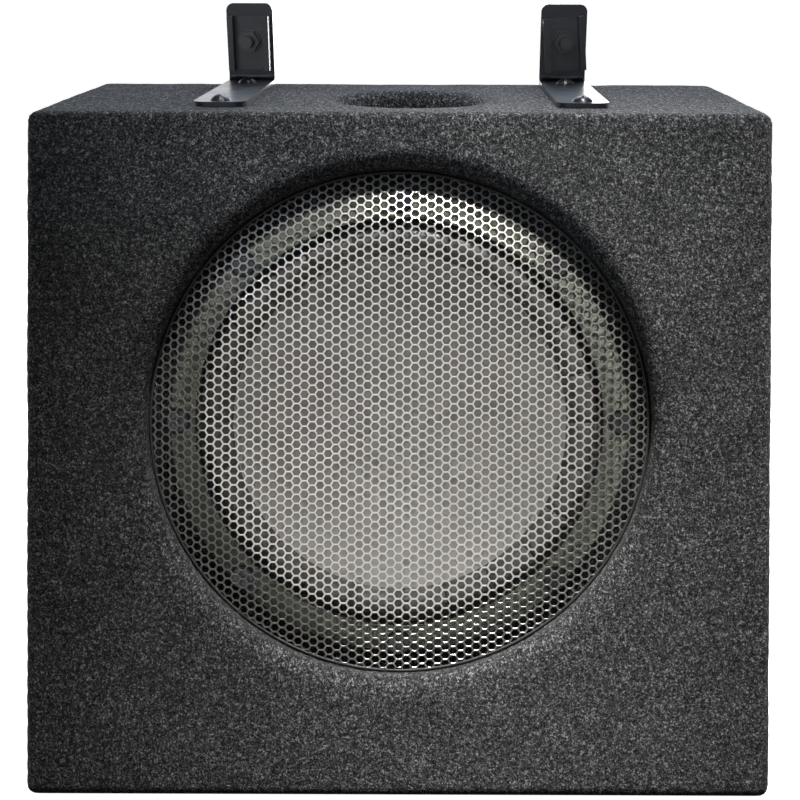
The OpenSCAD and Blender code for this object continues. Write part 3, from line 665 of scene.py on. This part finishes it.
def make_grille():
    """Dished steel with real hexagonal holes and a rolled rim."""
    cell_r = HOLE_PITCH / math.sqrt(3)
    hole_r = (HOLE_PITCH - HOLE_BAR) / math.sqrt(3)
    rings = (
        (cell_r, 0.0), (hole_r + 0.14 * MM, 0.0), (hole_r, -0.14 * MM),
        (hole_r, -GRILLE_T), (cell_r, -GRILLE_T),
    )
    column = HOLE_PITCH * math.sqrt(3) / 2
    reach = int(GRILLE_R / column) + 2
    verts, faces, seen = [], [], {}

    def point(x, y, drop):
        r = math.hypot(x, y)
        if r > GRILLE_R:
            x, y, r = x * GRILLE_R / r, y * GRILLE_R / r, GRILLE_R
        key = (round(x / MM, 3), round(y / MM, 3), round(drop / MM, 3))
        if key not in seen:
            seen[key] = len(verts)
            verts.append((x, y, dish_height(r) + drop))
        return seen[key]

    for i in range(-reach, reach + 1):
        for j in range(-reach, reach + 1):
            cx = i * column
            cy = (j + 0.5 * (i % 2)) * HOLE_PITCH
            if math.hypot(cx, cy) > GRILLE_R + 0.8 * MM:
                continue
            loops = []
            for radius, drop in rings:
                loops.append([
                    point(cx + radius * math.cos(math.radians(60 * k)),
                          cy + radius * math.sin(math.radians(60 * k)), drop)
                    for k in range(6)
                ])
            for a, b in zip(loops, loops[1:]):
                for k in range(6):
                    m = (k + 1) % 6
                    quad = [a[k], a[m], b[m], b[k]]
                    if len(set(quad)) == 4:
                        faces.append(quad)
                    elif len(set(quad)) == 3:
                        faces.append(list(dict.fromkeys(quad)))
    sheet = new_object("grille_sheet", verts, faces, [MAT["grille_steel"]], matrix=DRIVER_FRAME)
    sheet.data.shade_flat()
    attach(sheet, "cabinet")
    rim_top = dish_height(GRILLE_R)
    foot = -RECESS_DEPTH + 0.2 * MM
    inner = GRILLE_R - 0.6 * MM
    profile = [(inner, rim_top - GRILLE_T - 0.1 * MM), (inner, rim_top + 0.16 * MM)]
    roll = GRILLE_EDGE_R - GRILLE_R
    for k in range(5):
        a = math.radians(90 - 22.5 * k)
        profile.append((GRILLE_R + roll * math.cos(a),
                        rim_top - roll + 0.3 * MM + roll * math.sin(a)))
    profile += [(GRILLE_EDGE_R, foot), (GRILLE_EDGE_R - 0.9 * MM, foot)]
    profile.append((GRILLE_EDGE_R - 0.9 * MM, rim_top - GRILLE_T - 0.6 * MM))
    rim = lathe("grille_rim", profile, 256, [MAT["rim_paint"]], DRIVER_FRAME)
    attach(rim, "cabinet")
    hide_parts("grille")


# ------------------------------------------------------------------ driver

CONE_EDGE_R = 78 * MM
CONE_EDGE_Z = -21 * MM
CONE_DEPTH = 20 * MM
CONE_LIP_R = 80.6 * MM
CONE_T = 1 * MM
SURROUND_R = 86 * MM
SURROUND_ROLL_R = 5.5 * MM
SURROUND_T = 1.2 * MM
SURROUND_OUTER_R = 94 * MM
SURROUND_INNER_R = 78.3 * MM
SPIDER_OUTER_R = 56.8 * MM
SPIDER_Z = -59.9 * MM
SECTORS = 24


def flexing_ring(name, profile, material, node):
    """A lathed ring, made in sectors that are baked into place; the first sector hides the CAD node."""
    for s in range(SECTORS):
        a0, a1 = 360 * s / SECTORS, 360 * (s + 1) / SECTORS
        piece = lathe(f"{name}_{s + 1:02d}", profile, 6, [MAT[material]],
                      DRIVER_FRAME, arc=(a0, a1))
        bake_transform(piece)
        if s == 0:
            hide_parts(node)


def make_cone():
    """Smooth dish with a rolled lip, finer than the CAD mesh."""
    rim_r, depth, edge_z, thick = CONE_EDGE_R, CONE_DEPTH, CONE_EDGE_Z, CONE_T
    ball = (rim_r ** 2 + depth ** 2) / (2 * depth)
    centre = edge_z - depth + ball

    def dish(r):
        return centre - math.sqrt(ball ** 2 - r ** 2)

    steps = 40
    front = [(rim_r * k / steps, dish(rim_r * k / steps)) for k in range(steps + 1)]
    lip = [(rim_r + 0.6 * MM, edge_z + 0.05 * MM), (CONE_LIP_R, edge_z - 0.02 * MM),
           (CONE_LIP_R, edge_z - thick), (rim_r, edge_z - thick - 0.3 * MM)]
    back = [(r, z - thick) for r, z in reversed(front[:-2])]
    cone = lathe("cone_dish", front + lip + back, 160, [MAT["cone_metal"]], DRIVER_FRAME)
    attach(cone, "driver_cone")
    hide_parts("cone")


def make_surround():
    """Half roll of rubber, made in sectors."""
    mid_r, roll, thick = SURROUND_R, SURROUND_ROLL_R, SURROUND_T
    seat = CONE_EDGE_Z + 0.05 * MM
    base = seat + thick / 2
    outer_r, inner_r = SURROUND_OUTER_R, SURROUND_INNER_R
    steps = 14
    top = [(outer_r, seat), (outer_r, seat + thick), (mid_r + roll + thick, seat + thick)]
    top += [(mid_r + (roll + thick / 2) * math.cos(math.pi * k / steps),
             base + (roll + thick / 2) * math.sin(math.pi * k / steps))
            for k in range(1, steps)]
    top += [(mid_r - roll - thick, seat + thick), (inner_r, seat + thick), (inner_r, seat)]
    under = [(mid_r + (roll - thick / 2) * math.cos(math.pi * k / steps),
              base + (roll - thick / 2) * math.sin(math.pi * k / steps))
             for k in range(steps, -1, -1)]
    under = [(mid_r - roll + thick / 2, seat)] + under[1:-1] + [(mid_r + roll - thick / 2, seat)]
    flexing_ring("surround", top + under, "surround_rubber",
                 "surround")


def make_spider():
    """Corrugated cloth disc, glued to the basket's ledge and carried by the former."""
    waves, steps = 5, 60
    inner_r, outer_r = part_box("voice_coil_former")[1].x + 0.1 * MM, SPIDER_OUTER_R
    low, wave, thick = SPIDER_Z, 1.9 * MM, 0.7 * MM
    first_r, last_r = inner_r + 1.2 * MM, outer_r - 3 * MM
    under = []
    for k in range(steps + 1):
        r = inner_r + (outer_r - inner_r) * k / steps
        t = min(max((r - first_r) / (last_r - first_r), 0), 1)
        under.append((r, low + wave / 2 * (1 - math.cos(2 * math.pi * waves * t))))
    top = [(r, z + thick) for r, z in reversed(under)]
    flexing_ring("spider", top + under, "spider_cloth",
                 "spider")


# ------------------------------------------------------- camera and lights

CAMERA_DISTANCE = 578 * MM
CAMERA_X = 18.3 * MM
LENS = 57.3
SHIFT_X, SHIFT_Y = -0.0486, 0.0428
TILT, ROLL = -0.0095, 0.0039
WARM, COOL = (1.0, 0.985, 0.96), (0.68, 0.80, 1.0)
ROOM_HALF = 12
FLOOR_DROP = 0.3 * MM


def make_camera():
    """The camera, square to the leaning front and a little to the right of the driver."""
    data = bpy.data.cameras.new("camera")
    data.lens = LENS
    data.shift_x, data.shift_y = SHIFT_X, SHIFT_Y
    data.clip_start = 0.01
    camera = bpy.data.objects.new("camera", data)
    bpy.context.scene.collection.objects.link(camera)
    place = DRIVER + X * CAMERA_X + OUT * CAMERA_DISTANCE
    facing = Matrix((X, UP, OUT)).transposed().to_4x4()
    turn = Matrix.Rotation(TILT, 4, "X") @ Matrix.Rotation(ROLL, 4, "Z")
    camera.matrix_world = Matrix.Translation(place) @ facing @ turn
    bpy.context.scene.camera = camera


def add_light(name, kind, place, target, power, color=(1, 1, 1)):
    """A light at place that points at target."""
    data = bpy.data.lights.new(name, kind)
    data.energy = power
    data.color = color
    light = bpy.data.objects.new(name, data)
    bpy.context.scene.collection.objects.link(light)
    light.location = place
    light.rotation_euler = (Vector(target) - Vector(place)).to_track_quat("-Z", "Y").to_euler()
    return light


def area_light(name, place, target, size, power, color=(1, 1, 1)):
    light = add_light(name, "AREA", place, target, power, color)
    light.data.shape = "RECTANGLE"
    light.data.size, light.data.size_y = size
    return light


def spot_light(name, place, target, angle, radius, power, color=(1, 1, 1)):
    light = add_light(name, "SPOT", place, target, power, color)
    light.data.spot_size = math.radians(angle)
    light.data.spot_blend = 1.0
    light.data.shadow_soft_size = radius


def toward(right, up, out):
    """A point given from the driver's centre, along its own axes."""
    return DRIVER + X * right + UP * up + OUT * out


def make_room():
    """White floor and walls that only the camera sees, and dim surroundings."""
    s = Shader("floor", (0.9, 0.9, 0.9), 0.9)
    s.color(s.ramp(s.noise(3, 2), ((0.0, 0.9), (1.0, 0.93))))
    s.set(Emission_Color=(1, 1, 1, 1), Emission_Strength=1.0)
    a = ROOM_HALF
    verts = [(x, y, z) for z in (0, a) for x, y in ((-a, -a), (a, -a), (a, a), (-a, a))]
    faces = [(0, 1, 2, 3), (4, 7, 6, 5)] + [(k, k + 4, (k + 1) % 4 + 4, (k + 1) % 4)
                                            for k in range(4)]
    floor = new_object("floor", verts, faces, [s.mat], smooth=False)
    floor.location.z = -FLOOR_DROP
    floor.visible_diffuse = False
    floor.visible_glossy = False
    world = bpy.data.worlds.new("studio")
    world.use_nodes = True
    world.node_tree.nodes["Background"].inputs["Color"].default_value = (0.96, 0.98, 1.0, 1)
    world.node_tree.nodes["Background"].inputs["Strength"].default_value = 0.05
    bpy.context.scene.world = world
    bpy.context.scene.view_settings.view_transform = "Standard"


def make_lights():
    """A warm key from high in front, a cool one behind, and weak ones round the sides."""
    spot_light("key", toward(0.2, 1.17, 0.66), toward(0.055, -0.085, 0), 15.5, 0.16, 340, WARM)
    area_light("top", Vector((0.15, 1.0, 1.3)), Vector((0, 0.05, 0.3)), (1.2, 0.6), 18, COOL)
    for name, x, y in (("left", -1.4, 0.8), ("right", 1.4, 0.8), ("rear", 0.3, 1.9)):
        area_light(name, Vector((x, y, 0.36)), Vector((0, 0.05, 0.15)), (0.8, 0.6), 13, WARM)
    area_light("front", toward(0.3, 0.5, 1.3), toward(0.05, 0, 0), (0.5, 0.3), 0.25)
    for name, place, size, power in (
        ("front_screen", toward(-0.2, 0.0, 1.5), (1.0, 1.1), 4.8),
        ("back_screen", Vector((-0.3, 1.6, 0.75)), (2.4, 0.9), 9),
    ):
        screen = area_light(name, place, DRIVER, size, power)
        screen.visible_diffuse = False
        screen.visible_camera = False
    for side, x in (("left", -BRACKET_X), ("right", BRACKET_X)):
        spot_light("bracket_" + side, Vector((x - 0.45, -0.75, 0.95)),
                   Vector((x, 0, 0.325)), 5, 0.1, 90, COOL)


make_camera()
make_room()
make_lights()
finish_cad_nodes()
felt = make_felt()
make_fibres(*felt)
make_grille()
make_cone()
make_surround()
make_spider()
